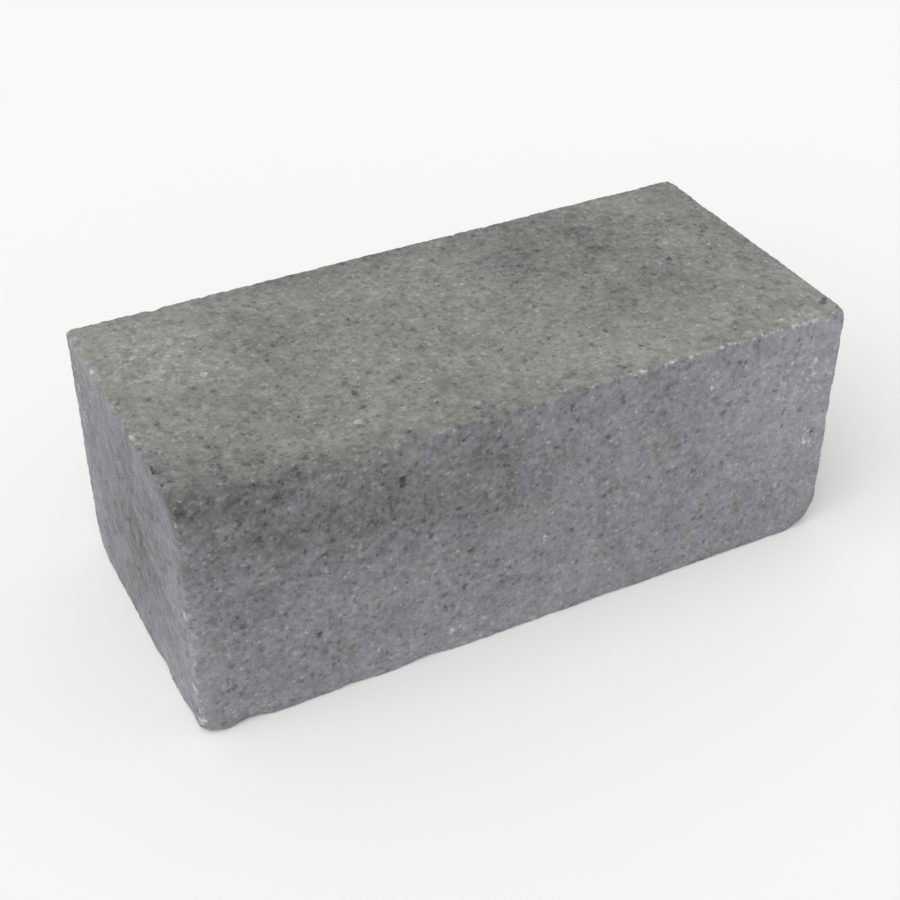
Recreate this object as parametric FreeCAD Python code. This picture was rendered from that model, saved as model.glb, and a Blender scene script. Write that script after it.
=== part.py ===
"""A solid concrete block, cast in one piece by pressing a dry mix in a steel mould.

The block is a plain rectangular prism with no hole, frog or core. Its upright arrises
come from the mould's corners and have a small radius. The top and bed arrises, where the
press head and the pallet board close the mould, are sharper. Three of its corners are knocked.

Frame, in millimetres: X runs along the length, Y across the width from front to back, and
Z up. The origin is at the centre of the bed face, which the block rests on.
"""

import FreeCAD, Part
import os

# Overall size
BLOCK_LENGTH = 220.0
BLOCK_WIDTH = 100.0
BLOCK_HEIGHT = 85.0

# Radii of the arrises
UPRIGHT_ARRIS_RADIUS = 2.0
TOP_ARRIS_RADIUS = 0.8
BED_ARRIS_RADIUS = 1.0

# Knocked corners: how far the flat broken face reaches from the corner along X, Y and Z
BED_FRONT_RIGHT_KNOCK = (11.0, 7.0, 5.5)
BED_FRONT_LEFT_KNOCK = (5.5, 5.0, 4.5)
TOP_FRONT_RIGHT_KNOCK = (4.5, 4.0, 4.5)

# Each knocked corner as its side of the block along X, Y and Z, with the reach of its break
KNOCKED_CORNERS = [
    ((1, -1, 0), BED_FRONT_RIGHT_KNOCK),
    ((-1, -1, 0), BED_FRONT_LEFT_KNOCK),
    ((1, -1, 1), TOP_FRONT_RIGHT_KNOCK),
]

# The cutter of a knock is this many times the piece it removes, so that it passes
# cleanly through the block's faces
CUTTER_SCALE = 2.0

# Two heights closer than this are the same level
LEVEL_TOLERANCE = 1e-6


def plain_prism():
    """The block before its arrises are rounded, with its bed centred on the origin."""
    corner = FreeCAD.Vector(-BLOCK_LENGTH / 2, -BLOCK_WIDTH / 2, 0)
    return Part.makeBox(BLOCK_LENGTH, BLOCK_WIDTH, BLOCK_HEIGHT, corner)


def upright_edges(solid):
    """The straight edges that stand between the bed and the top."""
    return [edge for edge in solid.Edges if edge.BoundBox.ZLength > BLOCK_HEIGHT / 2]


def edges_at_level(solid, level):
    """The edges that lie wholly at one height."""
    return [
        edge
        for edge in solid.Edges
        if abs(edge.BoundBox.ZMin - level) < LEVEL_TOLERANCE
        and abs(edge.BoundBox.ZMax - level) < LEVEL_TOLERANCE
    ]


def rounded_prism():
    """The prism with a radius on every arris."""
    solid = plain_prism()
    solid = solid.makeFillet(UPRIGHT_ARRIS_RADIUS, upright_edges(solid))
    solid = solid.makeFillet(TOP_ARRIS_RADIUS, edges_at_level(solid, BLOCK_HEIGHT))
    return solid.makeFillet(BED_ARRIS_RADIUS, edges_at_level(solid, 0.0))


def tetrahedron(apex, base):
    """A closed solid from an apex and the three points of its base."""
    first, second, third = base
    corners_of_faces = [
        (first, second, third),
        (first, second, apex),
        (second, third, apex),
        (third, first, apex),
    ]
    faces = [Part.Face(Part.makePolygon([a, b, c, a])) for a, b, c in corners_of_faces]
    return Part.makeSolid(Part.makeShell(faces))


def knock_cutter(sides, reach):
    """The tetrahedron that breaks one corner off along a flat face."""
    side_x, side_y, side_z = sides
    reach_x, reach_y, reach_z = reach
    inward_z = -1 if side_z else 1
    corner = FreeCAD.Vector(side_x * BLOCK_LENGTH / 2, side_y * BLOCK_WIDTH / 2, side_z * BLOCK_HEIGHT)
    break_points = [
        corner + FreeCAD.Vector(-side_x * reach_x, 0, 0),
        corner + FreeCAD.Vector(0, -side_y * reach_y, 0),
        corner + FreeCAD.Vector(0, 0, inward_z * reach_z),
    ]
    middle = (break_points[0] + break_points[1] + break_points[2]) / 3
    base = [middle + (point - middle) * CUTTER_SCALE for point in break_points]
    apex = middle + (corner - middle) * CUTTER_SCALE
    return tetrahedron(apex, base)


def concrete_block():
    """The finished block: one solid, with rounded arrises and knocked corners."""
    solid = rounded_prism()
    for sides, reach in KNOCKED_CORNERS:
        solid = solid.cut(knock_cutter(sides, reach))
    return solid.Solids[0]


os.makedirs("parts", exist_ok=True)
concrete_block().exportStep("parts/concrete_block.step")
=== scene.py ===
"""Looks of a solid concrete block: a pressed, sandy casting with worn arrises and open pits.

The block's cast surface is made by a geometry node tree around its measured box, with real
relief down to about a millimetre. Finer grain is bump in its concrete material. The stage
is a plain pale floor under soft studio light. Lengths are metres.
"""

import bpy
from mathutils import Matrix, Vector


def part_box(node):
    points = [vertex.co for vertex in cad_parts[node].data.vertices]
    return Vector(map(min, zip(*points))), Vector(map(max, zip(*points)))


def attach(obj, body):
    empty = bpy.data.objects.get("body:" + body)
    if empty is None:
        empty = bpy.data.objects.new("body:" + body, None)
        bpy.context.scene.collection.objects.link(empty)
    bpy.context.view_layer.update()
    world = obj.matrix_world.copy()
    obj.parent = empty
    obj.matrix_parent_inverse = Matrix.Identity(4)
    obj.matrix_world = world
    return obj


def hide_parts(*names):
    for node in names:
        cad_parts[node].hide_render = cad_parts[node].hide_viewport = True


bl_info = {
    "name": "Cast concrete block",
    "version": (1, 0, 0),
    "blender": (4, 5, 0),
    "location": "3D View > Sidebar > Masonry",
    "description": "Makes a solid cast concrete block with worn arrises, sand grain and open pits",
    "category": "Object",
}

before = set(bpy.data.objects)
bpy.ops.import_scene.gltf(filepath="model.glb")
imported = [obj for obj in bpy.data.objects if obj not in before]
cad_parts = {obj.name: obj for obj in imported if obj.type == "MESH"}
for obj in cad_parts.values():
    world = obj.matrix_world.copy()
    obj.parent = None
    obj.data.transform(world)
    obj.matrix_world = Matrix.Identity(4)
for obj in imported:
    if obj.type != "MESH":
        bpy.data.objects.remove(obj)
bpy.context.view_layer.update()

import math

import bmesh
import bpy
from mathutils import Vector

BLOCK_NODE = "concrete_block"
BODY = "root"
MM = 0.001

BLOCK_LOW, BLOCK_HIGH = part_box(BLOCK_NODE)
BLOCK_SIZE = BLOCK_HIGH - BLOCK_LOW
BLOCK_CENTRE = (BLOCK_LOW + BLOCK_HIGH) / 2

# Attributes that the casting carries for its material
WEAR = "arris_wear"
PIT = "pit"
PRESSED = "pressed_face"
END = "end_face"
# The tone carries painted light and shade on the front face as well as real blotches.
MOTTLE_AND_PAINTED_LIGHT = "tone_and_painted_light"
LIME = "lime"
PALE = "pale_spot"
PIT_RADIUS = "pit_radius"


def on_top(x, y):
    """A place on the top face, given in millimetres from its centre."""
    return Vector((x * MM, y * MM, BLOCK_HIGH.z))


def on_front(x, z):
    """A place on the front face, in millimetres from its middle and up from the bed."""
    return Vector((x * MM, BLOCK_LOW.y, z * MM))


def on_left_end(y, z):
    """A place on the left end, in millimetres from its middle and up from the bed."""
    return Vector((BLOCK_LOW.x, y * MM, z * MM))


def corner(side_x, side_y, side_z):
    """One corner of the block. Each side is -1 or 1."""
    sides = Vector((side_x, side_y, side_z))
    return BLOCK_CENTRE + sides * BLOCK_SIZE / 2


# Knocked corners: the corner, the radius that it is worn to and how far the wear reaches
KNOCKED_CORNERS = [
    (corner(1, -1, -1), 7.0 * MM, 14 * MM),
    (corner(-1, -1, -1), 4.5 * MM, 12 * MM),
    (corner(1, -1, 1), 2.2 * MM, 7 * MM),
    (corner(-1, 1, -1), 6.0 * MM, 14 * MM),
    (corner(-1, 1, 1), 1.6 * MM, 5 * MM),
    (corner(1, 1, 1), 2.0 * MM, 6 * MM),
    (corner(1, 1, -1), 4.0 * MM, 10 * MM),
]

# Bites out of an arris: where, how far they reach and how deep they are
ARRIS_BITES = [
    (on_front(-95, 0), 8 * MM, 1.3 * MM),
    (on_front(-62, 0), 8 * MM, 0.7 * MM),
    (on_front(-37, 0), 9 * MM, 1.0 * MM),
    (on_front(26, 0), 11 * MM, 0.25 * MM),
    (on_front(110, 53), 5 * MM, 0.4 * MM),
    (on_front(110, 44), 4 * MM, 0.3 * MM),
    (on_top(-82, 50), 4 * MM, 0.7 * MM),
    (on_top(-110, -2), 4 * MM, 0.5 * MM),
    (on_top(-110, -28), 4 * MM, 0.7 * MM),
    (on_top(-110, -37), 3 * MM, 0.6 * MM),
    (on_left_end(-16, 0), 8 * MM, 0.6 * MM),
    (on_left_end(-40, 0), 9 * MM, 0.6 * MM),
    (on_left_end(-50, 40), 5 * MM, 0.4 * MM),
    (on_left_end(-50, 17), 6 * MM, 0.4 * MM),
]

# Open pits: where they are and how wide
PLACED_PITS = [
    (on_top(-30.5, 16.5), 1.2 * MM),
    (on_top(-33, 5), 0.8 * MM),
    (on_top(-45, -21), 1.5 * MM),
    (on_top(-84.5, 26.5), 0.9 * MM),
    (on_top(-79.5, 19.5), 0.8 * MM),
    (on_top(-101, -10), 1.2 * MM),
    (on_top(33, 37.5), 0.9 * MM),
    (on_top(33, 21), 0.9 * MM),
    (on_top(3, -20), 0.9 * MM),
    (on_top(19, -21.5), 0.9 * MM),
    (on_top(69, 2), 0.7 * MM),
    (on_top(-64, -24.5), 0.7 * MM),
    (on_top(50, 7), 0.8 * MM),
    (on_top(106.5, -42.3), 1.5 * MM),
    (on_top(108.2, -40.6), 1.2 * MM),
    (on_top(-109.2, -28), 1.3 * MM),
    (on_top(-109.0, -30.5), 1.1 * MM),
    (on_top(-108.8, -37), 1.0 * MM),
    (on_front(-43.5, 72), 1.5 * MM),
    (on_front(-43.5, 70), 1.3 * MM),
    (on_front(-16.5, 57), 1.0 * MM),
    (on_front(-2, 20), 0.9 * MM),
    (on_front(-5, 20), 0.9 * MM),
    (on_front(47.5, 43), 1.0 * MM),
    (on_front(24.5, 64), 1.4 * MM),
    (on_front(-74, 57), 0.9 * MM),
    (on_front(-91, 58), 0.9 * MM),
    (on_front(91, 47), 0.9 * MM),
    (on_front(65, 8.5), 0.9 * MM),
    (on_left_end(-9, 47), 1.6 * MM),
    (on_left_end(-7, 44), 1.5 * MM),
    (on_left_end(26, 60), 1.6 * MM),
]

# Pale stones and lime spots that show at the surface: where they are and how wide
PALE_SPOTS = [
    (on_top(-80.5, 7.5), 1.2 * MM),
    (on_top(-50.5, -35), 1.3 * MM),
    (on_top(-72, 24), 0.8 * MM),
    (on_top(88, -45), 0.7 * MM),
    (on_top(95, -45), 0.7 * MM),
    (on_top(-109.5, 24), 1.2 * MM),
    (on_top(-109.5, -13), 1.1 * MM),
    (on_front(-28.5, 8.5), 1.0 * MM),
    (on_front(-25.5, 9), 0.7 * MM),
    (on_front(-11, 58), 0.7 * MM),
    (on_front(-27, 66), 0.7 * MM),
    (on_front(4, 33), 1.0 * MM),
    (on_front(61, 71), 0.8 * MM),
    (on_front(101, 37), 0.6 * MM),
    (on_left_end(-47, 46), 1.9 * MM),
    (on_left_end(-49, 80), 1.2 * MM),
    (on_left_end(-47, 18), 1.6 * MM),
    (on_left_end(-49, 7), 1.4 * MM),
]

# Where lime has come through: the middle of each zone, its reach along X, Y and Z, and how much
LIME_ZONES = [
    (on_front(106, 55), (50, 8, 60), 0.62),
    (on_front(96, 66), (22, 8, 18), 0.26),
    (on_front(101, 36), (7, 8, 12), 0.28),
    (on_front(60, 73), (10, 8, 8), 0.62),
    (on_front(55, 85), (100, 2.6, 2.6), 0.95),
    (on_front(88, 85), (40, 5.0, 4.0), 0.35),
    (on_front(-110, 25), (2.8, 2.8, 60), 0.7),
    (on_left_end(-47, 44), (6, 6, 9), 0.9),
    (on_left_end(-46, 15), (6, 6, 9), 0.9),
    (on_left_end(-49, 7), (5, 5, 8), 0.9),
    (on_left_end(43, 62), (6, 15, 44), 1.0),
    (on_top(-92, 22), (48, 44, 8), 0.80),
]

# Broad tones, with painted light and shade on the front face: the middle of each, its reach along X, Y
# and Z, and how much lighter or darker it is
TONE_SPOTS_AND_PAINTED_LIGHT = [
    # The darker upper left of the front face is partly a real stain and partly painted shade.
    (on_front(-78, 74), (110, 12, 50), -0.30),
    (on_front(-20, 62), (50, 12, 36), -0.12),
    (on_front(-107, 60), (16, 12, 20), -0.10),
    # The lighter right end of the front face is partly a real stain and partly painted light.
    (on_front(112, 55), (75, 12, 60), 0.35),
    # The lighter band along the bottom of the front face is painted light bounced up from the floor.
    (on_front(10, 0), (140, 12, 20), 0.10),
    (on_front(106, 4), (36, 12, 26), 0.12),
    (on_front(-40, 2), (75, 12, 26), 0.12),
    (on_front(30, 20), (60, 12, 26), 0.05),
    (on_top(-108, -50), (52, 34, 14), -0.25),
    (on_top(-92, 26), (34, 42, 14), 0.24),
    (on_top(-62, 20), (22, 30, 14), -0.10),
    (on_top(10, 50), (100, 16, 14), -0.13),
    (on_top(52, 26), (50, 28, 14), -0.28),
    (on_top(66, -6), (36, 26, 14), -0.17),
    (on_top(-102, -24), (15, 13, 12), -0.10),
    (on_top(106, 6), (20, 40, 14), -0.08),
    (on_top(36, -38), (50, 18, 12), 0.18),
    (on_top(106, -40), (26, 26, 12), 0.14),
    (on_left_end(-4, 42), (12, 34, 30), -0.20),
    (on_left_end(-20, 66), (12, 32, 22), -0.16),
    (on_left_end(28, 78), (12, 18, 14), 0.10),
    (on_left_end(48, 50), (12, 20, 60), 0.18),
    (on_left_end(46, 4), (12, 16, 18), 0.16),
    (on_left_end(-32, 4), (12, 34, 18), 0.20),
    (on_left_end(-44, 24), (12, 18, 40), 0.10),
    (on_left_end(-50, 52), (8, 12, 50), 0.12),
    # Painted shade: a darker spot in the bitten notches on the top's left arris.
    (on_top(-109, -30), (5, 12, 6), -0.20),
]


class Wire:
    """A node's output. Python's operators on it add Math or Vector Math nodes."""

    def __init__(self, graph, socket):
        self.graph = graph
        self.socket = socket

    def pick(self, name):
        """Another output of the same node."""
        return Wire(self.graph, self.graph.shown(self.socket.node.outputs, name))

    @property
    def is_vector(self):
        """Colours count, because a Math node would turn them grey."""
        return self.socket.type in {"VECTOR", "RGBA"}

    @property
    def parts(self):
        """The X, Y and Z of a vector."""
        apart = self.graph.node("ShaderNodeSeparateXYZ", inputs={"Vector": self})
        return apart, apart.pick("Y"), apart.pick("Z")

    def __add__(self, other):
        return self.graph.maths("ADD", self, other)

    def __radd__(self, other):
        return self.graph.maths("ADD", other, self)

    def __sub__(self, other):
        return self.graph.maths("SUBTRACT", self, other)

    def __rsub__(self, other):
        return self.graph.maths("SUBTRACT", other, self)

    def __mul__(self, other):
        return self.graph.maths("MULTIPLY", self, other)

    def __rmul__(self, other):
        return self.graph.maths("MULTIPLY", other, self)

    def __truediv__(self, other):
        return self.graph.maths("DIVIDE", self, other)

    def __neg__(self):
        return self.graph.maths("MULTIPLY", self, -1.0)

    def __abs__(self):
        return self.graph.maths("ABSOLUTE", self)


class Graph:
    """A node tree that is written as Python expressions."""

    def __init__(self, tree):
        self.tree = tree

    @staticmethod
    def shown(sockets, key):
        """The socket with that name, or at that place, among those that the node has in use."""
        used = [socket for socket in sockets if socket.enabled]
        if isinstance(key, int):
            return used[key]
        return next(socket for socket in used if socket.name == key)

    def node(self, kind, settings=None, inputs=None):
        """Adds a node, makes its settings, then fills its sockets. Returns its first output in use."""
        made = self.tree.nodes.new(kind)
        for name, value in (settings or {}).items():
            setattr(made, name, value)
        for key, value in (inputs or {}).items():
            self.feed(self.shown(made.inputs, key), value)
        outputs = [socket for socket in made.outputs if socket.enabled]
        return Wire(self, outputs[0]) if outputs else made

    def feed(self, socket, value):
        """Links a wire to a socket, or sets the socket's own value."""
        if isinstance(value, Wire):
            self.tree.links.new(value.socket, socket)
        elif socket.type == "VECTOR" and isinstance(value, (int, float)):
            socket.default_value = (value, value, value)
        elif socket.type == "RGBA" and len(value) == 3:
            socket.default_value = (*value, 1.0)
        else:
            socket.default_value = value

    def maths(self, operation, *values):
        """A Math node, or a Vector Math node where any value is a vector."""
        vector = any(isinstance(value, Wire) and value.is_vector for value in values)
        kind = "ShaderNodeVectorMath" if vector else "ShaderNodeMath"
        return self.node(kind, {"operation": operation}, dict(enumerate(values)))

    def between(self, low, high, value):
        """Rises smoothly from 0 to 1 as the value goes from low to high."""
        ends = {"Value": value, "From Min": low, "From Max": high}
        return self.node("ShaderNodeMapRange", {"interpolation_type": "SMOOTHSTEP"}, ends)

    def noise(self, where, grain, detail=2.0, roughness=0.5):
        """Soft noise from 0 to 1 whose lumps are about one grain across."""
        inputs = {"Vector": where, "Scale": 1 / grain, "Detail": detail, "Roughness": roughness}
        return self.node("ShaderNodeTexNoise", inputs=inputs)

    def cells(self, where, pitch):
        """Cells at that pitch. The first output is the distance from a cell's middle, in pitches."""
        return self.node("ShaderNodeTexVoronoi", inputs={"Vector": where, "Scale": 1 / pitch})

    def mix(self, share, first, second):
        """Goes from the first colour to the second as share goes from 0 to 1."""
        inputs = {"Factor": share, "A": first, "B": second}
        return self.node("ShaderNodeMix", {"data_type": "RGBA"}, inputs)

    def spot(self, where, centre, reach):
        """1 at the centre, falling smoothly to 0 at that reach: a length, or one for each axis."""
        away = self.maths("DIVIDE", where - tuple(centre), reach)
        distance = self.node("ShaderNodeVectorMath", {"operation": "LENGTH"}, {0: away})
        return 1 - self.between(0.0, 1.0, distance)


class BlockShape(bpy.types.PropertyGroup):
    """Sizes of the cast surface that the node tree makes."""

    upright_radius: bpy.props.FloatProperty(
        name="Upright arris radius",
        description="Radius that the mould's corners leave on the upright arrises",
        default=1.2 * MM,
        min=0.0,
        unit="LENGTH",
        subtype="DISTANCE",
    )
    top_radius: bpy.props.FloatProperty(
        name="Top arris radius",
        description="Radius of the arrises round the top face",
        default=0.9 * MM,
        min=0.0,
        unit="LENGTH",
        subtype="DISTANCE",
    )
    bed_radius: bpy.props.FloatProperty(
        name="Bed arris radius",
        description="Radius of the arrises round the bed face",
        default=0.9 * MM,
        min=0.0,
        unit="LENGTH",
        subtype="DISTANCE",
    )
    waviness: bpy.props.FloatProperty(
        name="Waviness",
        description="How far the faces wander from flat",
        default=0.26 * MM,
        min=0.0,
        unit="LENGTH",
        subtype="DISTANCE",
    )
    sand_depth: bpy.props.FloatProperty(
        name="Sand depth",
        description="Depth of the relief between the sand grains",
        default=0.24 * MM,
        min=0.0,
        unit="LENGTH",
        subtype="DISTANCE",
    )
    crumble_depth: bpy.props.FloatProperty(
        name="Crumble depth",
        description="Most that is missing where an arris has crumbled",
        default=0.42 * MM,
        min=0.0,
        unit="LENGTH",
        subtype="DISTANCE",
    )
    pit_density: bpy.props.FloatProperty(
        name="Pit density",
        description="Open pits on each square metre, besides the placed ones",
        default=220.0,
        min=0.0,
    )
    rows_along: bpy.props.IntProperty(
        name="Rows along",
        description="Rows of mesh points along the block",
        default=221,
        min=2,
    )
    rows_across: bpy.props.IntProperty(
        name="Rows across",
        description="Rows of mesh points across the block",
        default=101,
        min=2,
    )
    rows_up: bpy.props.IntProperty(
        name="Rows up",
        description="Rows of mesh points up the block",
        default=86,
        min=2,
    )
    seed: bpy.props.IntProperty(
        name="Seed",
        description="Picks where the scattered pits fall",
        default=7,
    )


class ConcreteFinish(bpy.types.PropertyGroup):
    """Colours of the concrete."""

    # The top face gets an olive grey paste and all other faces a bluish grey one.
    other_faces_colour: bpy.props.FloatVectorProperty(
        name="Moulded faces",
        description="Paste colour of the sides and ends, which the mould forms",
        default=(0.217, 0.2135, 0.2355),
        size=3,
        min=0.0,
        max=1.0,
        subtype="COLOR",
    )
    top_face_colour: bpy.props.FloatVectorProperty(
        name="Pressed face",
        description="Paste colour of the top, which the press head forms",
        default=(0.232, 0.233, 0.213),
        size=3,
        min=0.0,
        max=1.0,
        subtype="COLOR",
    )
    pale_colour: bpy.props.FloatVectorProperty(
        name="Pale grains",
        description="Colour of quartz grains and lime spots",
        default=(0.47, 0.465, 0.46),
        size=3,
        min=0.0,
        max=1.0,
        subtype="COLOR",
    )
    # Also the colour of the painted shade in the pores and pits.
    dark_grain_and_painted_shade_colour: bpy.props.FloatVectorProperty(
        name="Dark grains",
        description="Colour of dark sand grains and the insides of pores",
        default=(0.075, 0.074, 0.075),
        size=3,
        min=0.0,
        max=1.0,
        subtype="COLOR",
    )
    # Also mixed in where the tone is darker, which on the front face is partly painted shade.
    stain_and_painted_shade_colour: bpy.props.FloatVectorProperty(
        name="Stain",
        description="Olive grey of the broad faint stains",
        default=(0.219, 0.220, 0.209),
        size=3,
        min=0.0,
        max=1.0,
        subtype="COLOR",
    )
    warm_colour: bpy.props.FloatVectorProperty(
        name="Warm grains",
        description="Colour of the few reddish sand grains",
        default=(0.26, 0.205, 0.195),
        size=3,
        min=0.0,
        max=1.0,
        subtype="COLOR",
    )


class StudioSetting(bpy.types.PropertyGroup):
    """The floor, the light and the camera."""

    floor_colour: bpy.props.FloatVectorProperty(
        name="Floor",
        description="Colour of the plain pale floor",
        default=(0.90, 0.90, 0.885),
        size=3,
        min=0.0,
        max=1.0,
        subtype="COLOR",
    )
    floor_radius: bpy.props.FloatProperty(
        name="Floor radius",
        description="Radius of the round floor",
        default=12.0,
        min=1.0,
        unit="LENGTH",
        subtype="DISTANCE",
    )
    sky_strength: bpy.props.FloatProperty(
        name="Sky strength",
        description="Strength of the even light from overhead",
        default=0.60,
        min=0.0,
    )
    horizon_strength: bpy.props.FloatProperty(
        name="Horizon strength",
        description="Strength of the even light from low down, all round",
        default=0.92,
        min=0.0,
    )
    key_strength: bpy.props.FloatProperty(
        name="Key strength",
        description="Strength of the soft light from the left",
        default=1.8,
        min=0.0,
    )
    camera_azimuth: bpy.props.FloatProperty(
        name="Camera azimuth",
        description="Direction that the camera stands in, turned from the front face",
        default=math.radians(-27.2),
        unit="ROTATION",
        subtype="ANGLE",
    )
    camera_elevation: bpy.props.FloatProperty(
        name="Camera elevation",
        description="Angle of the camera above the floor",
        default=math.radians(36.36),
        unit="ROTATION",
        subtype="ANGLE",
    )
    camera_distance: bpy.props.FloatProperty(
        name="Camera distance",
        description="Distance from the camera to the point that it looks at",
        default=0.5112,
        min=0.01,
        unit="LENGTH",
        subtype="DISTANCE",
    )
    look_at: bpy.props.FloatVectorProperty(
        name="Look at",
        description="Point that the camera looks at, from the block's centre",
        default=(-7.3 * MM, -7.8 * MM, 0.2 * MM),
        size=3,
        unit="LENGTH",
        subtype="TRANSLATION",
    )
    lens: bpy.props.FloatProperty(
        name="Lens",
        description="Focal length of the camera in millimetres",
        default=64.2,
        min=1.0,
    )


def new_object(name, mesh):
    """Puts a mesh in the scene."""
    made = bpy.data.objects.new(name, mesh)
    bpy.context.scene.collection.objects.link(made)
    return made


def mesh_of_pits():
    """Loose points at the placed pits, each with its radius."""
    mesh = bpy.data.meshes.new("placed_pits")
    mesh.from_pydata([place for place, radius in PLACED_PITS], [], [])
    radii = mesh.attributes.new(PIT_RADIUS, "FLOAT", "POINT")
    radii.data.foreach_set("value", [radius for place, radius in PLACED_PITS])
    return mesh


def with_attribute(graph, geometry, name, value):
    """Geometry that carries a named number at each point."""
    inputs = {"Geometry": geometry, "Name": name, "Value": value}
    return graph.node("GeometryNodeStoreNamedAttribute", inputs=inputs)


def tightened_box(graph, size, rows, here):
    """A grid box that stands on its bed, with closer rows towards its arrises, where the wear is."""
    tightness = 0.22
    inputs = {"Size": size, "Vertices X": rows[0], "Vertices Y": rows[1], "Vertices Z": rows[2]}
    box = graph.node("GeometryNodeMeshCube", inputs=inputs)
    half = size * 0.5
    share = here / half
    spread = share * (1 + tightness - tightness * share * share)
    place = spread * half + tuple(BLOCK_CENTRE)
    return graph.node("GeometryNodeSetPosition", inputs={"Geometry": box, "Position": place})


def distance_from_arris(graph, half, here):
    """How far a point of the box's surface is from the nearest arris."""
    gap_x, gap_y, gap_z = (half - abs(here - tuple(BLOCK_CENTRE))).parts
    widest = graph.maths("MAXIMUM", gap_x, graph.maths("MAXIMUM", gap_y, gap_z))
    return gap_x + gap_y + gap_z - widest


def swing(value):
    """How far a number that goes from 0 to 1 is above its middle."""
    return value - 0.5


def arris_radius(graph, here, radii):
    """The radius of the nearest arris, which changes with height and grows at knocked corners."""
    upright, top, bed = radii
    blend_start = 7 * MM
    blend_end = 1.5 * MM
    uneven_length = 9 * MM
    least_share = 0.6
    uneven_share = 0.8
    height = here.parts[2]
    at_top = graph.between(BLOCK_HIGH.z - blend_start, BLOCK_HIGH.z - blend_end, height)
    at_bed = graph.between(BLOCK_LOW.z + blend_start, BLOCK_LOW.z + blend_end, height)
    radius = upright + (top - upright) * at_top + (bed - upright) * at_bed
    radius = radius * (least_share + uneven_share * graph.noise(here, uneven_length))
    for place, worn_radius, reach in KNOCKED_CORNERS:
        worn = worn_radius * graph.spot(here, place, reach)
        radius = graph.maths("MAXIMUM", radius, worn)
    return radius


def arris_loss(graph, here, edge_distance, crumble_depth):
    """How deep the arrises are crumbled and bitten."""
    crumb_band = 2.6 * MM
    crumb_size = 2.4 * MM
    break_band = 5.0 * MM
    break_size = 13 * MM
    break_share = 0.5
    narrow = 1 - graph.between(0.0, crumb_band, edge_distance)
    crumbs = graph.between(0.47, 0.72, graph.noise(here, crumb_size, 2.0, 0.6))
    broad = 1 - graph.between(0.0, break_band, edge_distance)
    breaks = graph.between(0.60, 0.76, graph.noise(here, break_size, 2.0, 0.6))
    loss = crumble_depth * (narrow * crumbs + break_share * broad * breaks)
    for place, reach, depth in ARRIS_BITES:
        loss = loss + depth * graph.spot(here, place, reach)
    return loss


def pit_points(graph, placed, box, density, seed):
    """The placed pits and the scattered ones together, as points with a radius."""
    narrowest = 0.6 * MM
    widest = 1.5 * MM
    placed_points = graph.node("GeometryNodeMeshToPoints", inputs={"Mesh": placed})
    inputs = {"Mesh": box, "Density": density, "Seed": seed}
    scattered = graph.node("GeometryNodeDistributePointsOnFaces", inputs=inputs)
    inputs = {"Min": narrowest, "Max": widest, "Seed": seed}
    radius = graph.node("FunctionNodeRandomValue", {"data_type": "FLOAT"}, inputs)
    scattered = with_attribute(graph, scattered, PIT_RADIUS, radius)
    joined = graph.node("GeometryNodeJoinGeometry", inputs={"Geometry": placed_points})
    graph.feed(joined.socket.node.inputs["Geometry"], scattered)
    return joined


def read_at(graph, points, kind, value, index):
    """A number or a place that one of the points carries."""
    inputs = {"Geometry": points, "Value": value, "Index": index}
    return graph.node("GeometryNodeSampleIndex", {"data_type": kind}, inputs)


def pit_bowls(graph, here, points):
    """How far into a pit each point of the surface is, from 0 to 1, and that pit's radius."""
    rag_size = 1.6 * MM
    rag_shift = 1.3 * MM
    bowl_floor = 0.35
    bowl_rim = 1.25
    ragged = here + swing(graph.noise(here, rag_size).pick("Color")) * rag_shift
    inputs = {"Geometry": points, "Sample Position": ragged}
    nearest = graph.node("GeometryNodeSampleNearest", {"domain": "POINT"}, inputs)
    settings = {"data_type": "FLOAT"}
    stored = graph.node("GeometryNodeInputNamedAttribute", settings, {"Name": PIT_RADIUS})
    radius = read_at(graph, points, "FLOAT", stored, nearest)
    position = graph.node("GeometryNodeInputPosition")
    middle = read_at(graph, points, "FLOAT_VECTOR", position, nearest)
    inputs = {0: ragged, 1: middle}
    distance = graph.node("ShaderNodeVectorMath", {"operation": "DISTANCE"}, inputs)
    return 1 - graph.between(bowl_floor, bowl_rim, distance / radius), radius


def summed_spots(graph, here, zones):
    """The sum of soft spots, each with its middle, its reach in millimetres and its amount."""
    total = 0.0
    for place, reach, amount in zones:
        metres = tuple(length * MM for length in reach)
        total = total + amount * graph.spot(here, place, metres)
    return total


def tone_and_painted_light(graph, here):
    """How much lighter or darker the concrete is, about 1, with painted light and shade on the front
    face. The ends are the most blotchy.
    """
    cloud_size = 24 * MM
    patch_size = 7 * MM
    end_cloud_size = 11 * MM
    end_patch_size = 4 * MM
    break_up_size = 9 * MM
    at_end = graph.between(BLOCK_HIGH.x - 2 * MM, BLOCK_HIGH.x, abs(here.parts[0]))
    end_clouds = swing(graph.noise(here, end_cloud_size, 2.0))
    end_patches = swing(graph.noise(here, end_patch_size, 1.0))
    clouds = swing(graph.noise(here, cloud_size, 3.0))
    patches = swing(graph.noise(here, patch_size, 1.0))
    tone = 1 + 0.46 * clouds + 0.40 * patches + at_end * (0.5 * end_clouds + 0.5 * end_patches)
    broken = 0.4 + 1.2 * graph.noise(here, break_up_size, 2.0)
    # The placed tones add painted light and shade on the front face as well as real blotches.
    return tone + broken * summed_spots(graph, here, TONE_SPOTS_AND_PAINTED_LIGHT)


def pale_spots(graph, here):
    """1 at the middle of each pale spot, falling to 0 outside it."""
    total = 0.0
    for place, radius in PALE_SPOTS:
        total = total + graph.spot(here, place, radius * 2)
    return total


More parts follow.
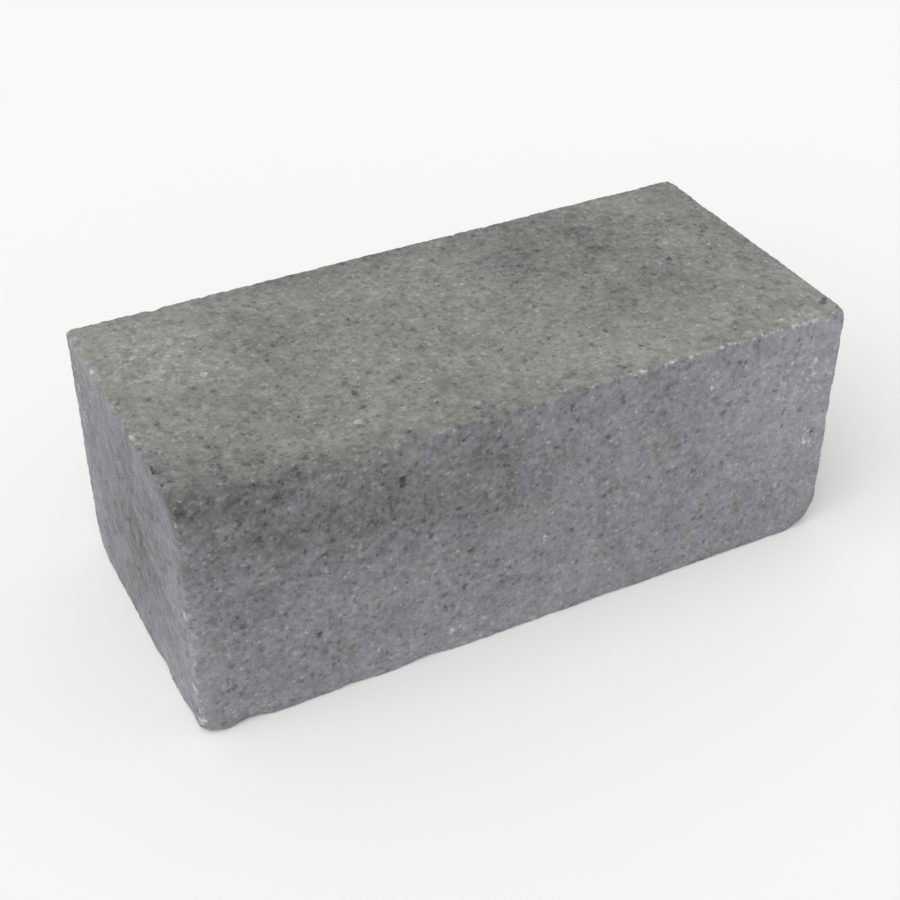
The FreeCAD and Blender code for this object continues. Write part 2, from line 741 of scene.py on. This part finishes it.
CASTING_INPUTS = {
    "Size": "NodeSocketVector",
    "Upright Radius": "NodeSocketFloat",
    "Top Radius": "NodeSocketFloat",
    "Bed Radius": "NodeSocketFloat",
    "Waviness": "NodeSocketFloat",
    "Sand Depth": "NodeSocketFloat",
    "Crumble Depth": "NodeSocketFloat",
    "Pit Density": "NodeSocketFloat",
    "Rows Along": "NodeSocketInt",
    "Rows Across": "NodeSocketInt",
    "Rows Up": "NodeSocketInt",
    "Seed": "NodeSocketInt",
}


def tree_with_inputs(name, kinds):
    """An empty geometry node tree with named inputs, and the identifier of each."""
    tree = bpy.data.node_groups.new(name, "GeometryNodeTree")
    tree.is_modifier = True
    for in_out in ("OUTPUT", "INPUT"):
        tree.interface.new_socket("Geometry", in_out=in_out, socket_type="NodeSocketGeometry")
    identifiers = {}
    for label, kind in kinds.items():
        made = tree.interface.new_socket(label, in_out="INPUT", socket_type=kind)
        identifiers[label] = made.identifier
    return tree, identifiers


def rolled_ball(graph, here, half, radius):
    """The box with rounded arrises: each point goes onto a ball that rolls inside the box.

    Returns the point's new place and the direction that its surface faces.
    """
    from_centre = here - tuple(BLOCK_CENTRE)
    core = half - radius
    inner = graph.maths("MINIMUM", graph.maths("MAXIMUM", from_centre, -core), core)
    inputs = {0: from_centre - inner}
    outward = graph.node("ShaderNodeVectorMath", {"operation": "NORMALIZE"}, inputs)
    return inner + outward * radius + tuple(BLOCK_CENTRE), outward


def face_relief(graph, here, waviness, sand_depth):
    """How deep the faces lie inside the box, from their waviness and their sand."""
    wave_length = 48 * MM
    lump_size = 6 * MM
    grain_size = 1.9 * MM
    lump_share = 0.5
    always_missing = 0.16 * MM
    least_relief = 0.01 * MM
    wave = waviness * graph.noise(here, wave_length, 1.0)
    grains = graph.between(0.30, 0.72, graph.noise(here, grain_size, 1.0))
    sand = sand_depth * (lump_share * graph.noise(here, lump_size, 2.0) + grains)
    return graph.maths("MAXIMUM", wave + sand - always_missing, least_relief)


def wear_of(graph, edge_distance, lost):
    """How worn the surface is: 1 on an arris and where much is missing, 0 on a sound face."""
    worn_band = 2.6 * MM
    much_lost = 1.2 * MM
    sound = 0.2 * MM
    worn = 1 - graph.between(sound, worn_band, edge_distance)
    return graph.maths("MINIMUM", worn + graph.between(sound, much_lost, lost), 1.0)


def facing(graph, component):
    """1 where that part of the surface's direction is large, with a soft change at the arris."""
    return graph.between(0.35, 0.85, component)


def cast_block_tree(material):
    """The node tree that makes the casting. Returns it with its named inputs' identifiers."""
    tree, identifiers = tree_with_inputs("cast_block", CASTING_INPUTS)
    graph = Graph(tree)
    given = graph.node("NodeGroupInput")
    size = given.pick("Size")
    half = size * 0.5
    here = graph.node("GeometryNodeInputPosition")
    rows = [given.pick(name) for name in ("Rows Along", "Rows Across", "Rows Up")]
    box = tightened_box(graph, size, rows, here)

    radii = [given.pick(name) for name in ("Upright Radius", "Top Radius", "Bed Radius")]
    radius = arris_radius(graph, here, radii)
    rounded, outward = rolled_ball(graph, here, half, radius)

    # Relief, all of it inwards from the rounded box
    bowl_depth = 0.6
    edge_distance = distance_from_arris(graph, half, here)
    lost = arris_loss(graph, here, edge_distance, given.pick("Crumble Depth"))
    points = pit_points(graph, given, box, given.pick("Pit Density"), given.pick("Seed"))
    bowl, pit_radius = pit_bowls(graph, here, points)
    relief = face_relief(graph, here, given.pick("Waviness"), given.pick("Sand Depth"))
    depth = lost + relief + bowl * pit_radius * bowl_depth

    # What the material needs to know
    marks = {
        WEAR: wear_of(graph, edge_distance, lost),
        PIT: bowl,
        PRESSED: facing(graph, outward.parts[2]),
        END: facing(graph, abs(outward.parts[0])),
        MOTTLE_AND_PAINTED_LIGHT: tone_and_painted_light(graph, here),
        LIME: summed_spots(graph, here, LIME_ZONES),
        PALE: pale_spots(graph, here),
    }
    for name, value in marks.items():
        box = with_attribute(graph, box, name, value)

    inputs = {"Geometry": box, "Position": rounded - outward * depth}
    cast = graph.node("GeometryNodeSetPosition", inputs=inputs)
    cast = graph.node("GeometryNodeSetShadeSmooth", inputs={"Geometry": cast})
    cast = graph.node("GeometryNodeRealizeInstances", inputs={"Geometry": cast})
    inputs = {"Geometry": cast, "Material": material}
    cast = graph.node("GeometryNodeSetMaterial", inputs=inputs)
    graph.node("NodeGroupOutput", inputs={"Geometry": cast})
    return tree, identifiers


def made_plain(thing, name):
    """Turns what an object's modifiers make into its own plain mesh."""
    depsgraph = bpy.context.evaluated_depsgraph_get()
    mesh = bpy.data.meshes.new_from_object(
        thing.evaluated_get(depsgraph), preserve_all_data_layers=True, depsgraph=depsgraph
    )
    mesh.name = name
    thing.modifiers.clear()
    thing.data = mesh


def carried(graph, name):
    """A number that the casting carries at each point."""
    return graph.node("ShaderNodeAttribute", {"attribute_name": name}).pick("Fac")


def sand_grains(graph, here, pitch):
    """One size of sand: a soft mask of the grains, and two random numbers for each."""
    cells = graph.cells(here, pitch)
    chance, second, _ = cells.pick("Color").parts
    mask = 1 - graph.between(0.15, 0.75, cells)
    return mask, chance, second


class Grain:
    """The concrete's sand, pores and pits, which its colour and its bump share."""

    def __init__(self, graph, here):
        grit_size = 1.1 * MM
        lump_size = 2.6 * MM
        coarse_pitch = 2.2 * MM
        fine_pitch = 1.2 * MM
        pore_size = 1.9 * MM
        raggedness = 1.4 * MM
        self.grit = graph.noise(here, grit_size, 2.0, 0.7)
        self.lumps = graph.noise(here, lump_size, 2.0, 0.65)
        shift = swing(graph.noise(here, grit_size, 1.0).pick("Color"))
        ragged = here + shift * raggedness
        self.coarse, self.coarse_chance, self.second_chance = sand_grains(graph, ragged, coarse_pitch)
        self.fine, self.fine_chance, _ = sand_grains(graph, ragged, fine_pitch)
        self.pores = graph.between(0.62, 0.74, graph.noise(here, pore_size, 2.0, 0.6))
        self.pits = graph.between(0.32, 0.75, self.gritty(carried(graph, PIT)))

    def gritty(self, value):
        """A smooth number whose edge is broken up by the grit."""
        return value + 1.2 * swing(self.grit)

    def tone(self):
        """How much lighter or darker the sand is than the paste, about 0."""
        by_grain = self.coarse * swing(self.coarse_chance) + self.fine * swing(self.fine_chance)
        return 0.40 * by_grain + 0.42 * swing(self.grit) + 0.86 * swing(self.lumps)

    def height(self):
        """The relief that is too fine for the mesh."""
        sand = 0.3 * self.coarse * self.coarse_chance + 0.3 * self.fine
        noise = 0.5 * self.grit + 0.4 * self.lumps
        return sand + noise - 0.5 * self.pores - 0.7 * self.pits


def paste_colour(graph, here, pressed, finish):
    """The colour of the cement paste: more olive on the top face, and where it is stained or dark, the
    dark places partly painted shade.
    """
    stain_size = 13 * MM
    stain = graph.between(0.46, 0.66, graph.noise(here, stain_size, 2.0, 0.6))
    # Darker tone, which on the front face is partly painted shade, turns the paste towards the olive
    # stain colour.
    darkness_and_painted_shade = 1 - carried(graph, MOTTLE_AND_PAINTED_LIGHT)
    paste = graph.mix(pressed, tuple(finish.other_faces_colour), tuple(finish.top_face_colour))
    return graph.mix(0.55 * stain + 1.1 * darkness_and_painted_shade, paste, tuple(finish.stain_and_painted_shade_colour))


def with_grains(graph, colour, grain, pressed, finish):
    """A paste colour with warm, pale and dark grains, and painted shade in the pores and pits."""
    pale = grain.fine * graph.between(0.92, 0.99, grain.fine_chance)
    dark_coarse = grain.coarse * graph.between(0.06, 0.02, grain.coarse_chance)
    dark_fine = grain.fine * graph.between(0.10, 0.03, grain.fine_chance)
    warm = grain.coarse * pressed * graph.between(0.84, 0.94, grain.second_chance)
    # Dark grains are the sand's own colour; the darkening in the pores and pits is painted shade in the
    # hollows.
    dark_grains_and_painted_shade = 0.38 * (dark_coarse + dark_fine) + 0.36 * grain.pores + 0.8 * grain.pits
    dark_grains_and_painted_shade = graph.maths("MINIMUM", dark_grains_and_painted_shade, 0.88)
    colour = graph.mix(0.5 * warm, colour, tuple(finish.warm_colour))
    colour = graph.mix(0.28 * pale, colour, tuple(finish.pale_colour))
    return graph.mix(dark_grains_and_painted_shade, colour, tuple(finish.dark_grain_and_painted_shade_colour))


def surface_bloom(graph, grain):
    """How much of the surface is hidden by lime, pale stones and scuffs on the arrises."""
    specks = grain.fine * grain.fine_chance + grain.coarse * grain.coarse_chance
    patchy = 0.34 + 0.28 * specks + 1.4 * swing(grain.lumps) + 0.5 * swing(grain.grit)
    lime = graph.between(0.34, 0.78, carried(graph, LIME) * patchy)
    stones = graph.between(0.35, 0.75, grain.gritty(carried(graph, PALE)))
    scuffs = carried(graph, WEAR) * graph.between(0.52, 0.70, grain.lumps)
    return graph.maths("MINIMUM", 0.42 * lime + 0.6 * stones + 0.2 * scuffs, 0.75)


def concrete_material(finish):
    """Sandy pressed concrete: mottled paste with painted light and shade on the front face, mixed grains,
    open pores and pits with painted shade, and worn arrises.
    """
    bump_strength = 0.7
    bump_depth = 0.35 * MM
    end_softening = 0.22
    material = bpy.data.materials.new("sandy_concrete")
    material.use_nodes = True
    material.node_tree.nodes.clear()
    graph = Graph(material.node_tree)
    here = graph.node("ShaderNodeTexCoord").pick("Object")
    grain = Grain(graph, here)
    pressed = graph.between(0.3, 0.7, carried(graph, PRESSED) + 0.6 * swing(grain.grit))

    colour = paste_colour(graph, here, pressed, finish)
    colour = with_grains(graph, colour, grain, pressed, finish)
    colour = graph.mix(surface_bloom(graph, grain), colour, tuple(finish.pale_colour))
    # The carried tone holds painted light and shade on the front face besides real blotches, and scaling
    # the colour by it paints them.
    tone = carried(graph, MOTTLE_AND_PAINTED_LIGHT) + grain.tone() * (1 - end_softening * carried(graph, END))
    inputs = {0: colour, "Scale": tone}
    colour = graph.node("ShaderNodeVectorMath", {"operation": "SCALE"}, inputs)

    inputs = {"Strength": bump_strength, "Distance": bump_depth, "Height": grain.height()}
    bump = graph.node("ShaderNodeBump", inputs=inputs)
    inputs = {
        "Base Color": colour,
        "Roughness": 0.84 + 0.14 * grain.lumps,
        "Specular IOR Level": 0.35,
        "Normal": bump,
    }
    shader = graph.node("ShaderNodeBsdfPrincipled", inputs=inputs)
    graph.node("ShaderNodeOutputMaterial", inputs={"Surface": shader})
    return material


def floor_material(colour):
    """A plain matt pale floor."""
    material = bpy.data.materials.new("pale_floor")
    material.use_nodes = True
    material.node_tree.nodes.clear()
    graph = Graph(material.node_tree)
    inputs = {"Base Color": tuple(colour), "Roughness": 0.9, "Specular IOR Level": 0.2}
    shader = graph.node("ShaderNodeBsdfPrincipled", inputs=inputs)
    graph.node("ShaderNodeOutputMaterial", inputs={"Surface": shader})
    return material


def direction(azimuth, elevation):
    """The unit vector towards that azimuth, turned from the front, and elevation."""
    flat = math.cos(elevation)
    return Vector((math.sin(azimuth) * flat, -math.cos(azimuth) * flat, math.sin(elevation)))


def aim(thing, place, target):
    """Stands a lamp or camera at a place, facing a target."""
    thing.location = place
    thing.rotation_euler = (target - place).to_track_quat("-Z", "Y").to_euler()


def soft_sun(name, azimuth, elevation, spread, strength):
    """A lamp of parallel light, softened by the angle that it spreads over."""
    lamp = bpy.data.lights.new(name, "SUN")
    lamp.angle = math.radians(spread)
    lamp.energy = strength
    stand = new_object(name, lamp)
    towards = direction(math.radians(azimuth), math.radians(elevation))
    aim(stand, BLOCK_CENTRE + towards, BLOCK_CENTRE)


class MASONRY_OT_cast_block(bpy.types.Operator):
    """Make the cast concrete block in place of its plain solid"""

    bl_idname = "masonry.cast_block"
    bl_label = "Cast the block"

    def execute(self, context):
        shape = context.scene.block_shape
        material = concrete_material(context.scene.concrete_finish)
        tree, identifiers = cast_block_tree(material)
        block = new_object("cast_block", mesh_of_pits())
        modifier = block.modifiers.new("cast_block", "NODES")
        modifier.node_group = tree
        sizes = {
            "Size": BLOCK_SIZE,
            "Upright Radius": shape.upright_radius,
            "Top Radius": shape.top_radius,
            "Bed Radius": shape.bed_radius,
            "Waviness": shape.waviness,
            "Sand Depth": shape.sand_depth,
            "Crumble Depth": shape.crumble_depth,
            "Pit Density": shape.pit_density,
            "Rows Along": shape.rows_along,
            "Rows Across": shape.rows_across,
            "Rows Up": shape.rows_up,
            "Seed": shape.seed,
        }
        for name, value in sizes.items():
            modifier[identifiers[name]] = value
        made_plain(block, "cast_block")
        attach(block, BODY)
        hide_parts(BLOCK_NODE)
        return {"FINISHED"}


class MASONRY_OT_set_stage(bpy.types.Operator):
    """Make the pale floor, the soft light and the camera"""

    bl_idname = "masonry.set_stage"
    bl_label = "Set the stage"

    def execute(self, context):
        studio = context.scene.studio_setting
        self.lay_floor(studio)
        self.light(context.scene, studio)
        self.stand_camera(context.scene, studio)
        return {"FINISHED"}

    def lay_floor(self, studio):
        mesh = bpy.data.meshes.new("floor")
        round_floor = bmesh.new()
        bmesh.ops.create_circle(round_floor, cap_ends=True, segments=96, radius=studio.floor_radius)
        bmesh.ops.translate(round_floor, verts=round_floor.verts, vec=(0, 0, BLOCK_LOW.z))
        round_floor.to_mesh(mesh)
        round_floor.free()
        mesh.materials.append(floor_material(studio.floor_colour))
        new_object("floor", mesh)

    def light(self, scene, studio):
        world = bpy.data.worlds.new("soft_sky")
        world.use_nodes = True
        world.node_tree.nodes.clear()
        graph = Graph(world.node_tree)
        height = graph.node("ShaderNodeTexCoord").pick("Generated").parts[2]
        falloff = graph.between(0.0, 0.45, height)
        strength = studio.horizon_strength + (studio.sky_strength - studio.horizon_strength) * falloff
        sky = graph.node("ShaderNodeBackground", inputs={"Color": (1, 1, 1), "Strength": strength})
        graph.node("ShaderNodeOutputWorld", inputs={"Surface": sky})
        scene.world = world
        soft_sun("key_light", -60, 50, 70, studio.key_strength)
        scene.view_settings.view_transform = "Standard"

    def stand_camera(self, scene, studio):
        camera = bpy.data.cameras.new("camera")
        camera.lens = studio.lens
        camera.sensor_width = 36.0
        camera.clip_start = 0.01
        camera.clip_end = 100.0
        stand = new_object("camera", camera)
        target = BLOCK_CENTRE + Vector(studio.look_at)
        away = direction(studio.camera_azimuth, studio.camera_elevation)
        aim(stand, target + away * studio.camera_distance, target)
        scene.camera = stand


class MASONRY_PT_maker(bpy.types.Panel):
    """Lists what the add-on makes"""

    bl_idname = "MASONRY_PT_maker"
    bl_label = "Concrete block"
    bl_space_type = "VIEW_3D"
    bl_region_type = "UI"
    bl_category = "Masonry"

    def draw(self, context):
        scene = context.scene
        for settings in (scene.block_shape, scene.concrete_finish, scene.studio_setting):
            column = self.layout.column(align=True)
            for name in settings.__annotations__:
                column.prop(settings, name)
        for step in STEPS:
            self.layout.operator(step.bl_idname)


STEPS = (MASONRY_OT_cast_block, MASONRY_OT_set_stage)
SETTINGS = {
    "block_shape": BlockShape,
    "concrete_finish": ConcreteFinish,
    "studio_setting": StudioSetting,
}


def register():
    """Makes the settings, the operators and the panel known to Blender."""
    for kind in (*SETTINGS.values(), *STEPS, MASONRY_PT_maker):
        bpy.utils.register_class(kind)
    for name, kind in SETTINGS.items():
        setattr(bpy.types.Scene, name, bpy.props.PointerProperty(type=kind))


def unregister():
    """Undoes register()."""
    for name in SETTINGS:
        delattr(bpy.types.Scene, name)
    for kind in (MASONRY_PT_maker, *STEPS, *SETTINGS.values()):
        bpy.utils.unregister_class(kind)


def main():
    """Makes everything in order."""
    register()
    bpy.ops.masonry.cast_block()
    bpy.ops.masonry.set_stage()


if __name__ == "__main__":
    main()
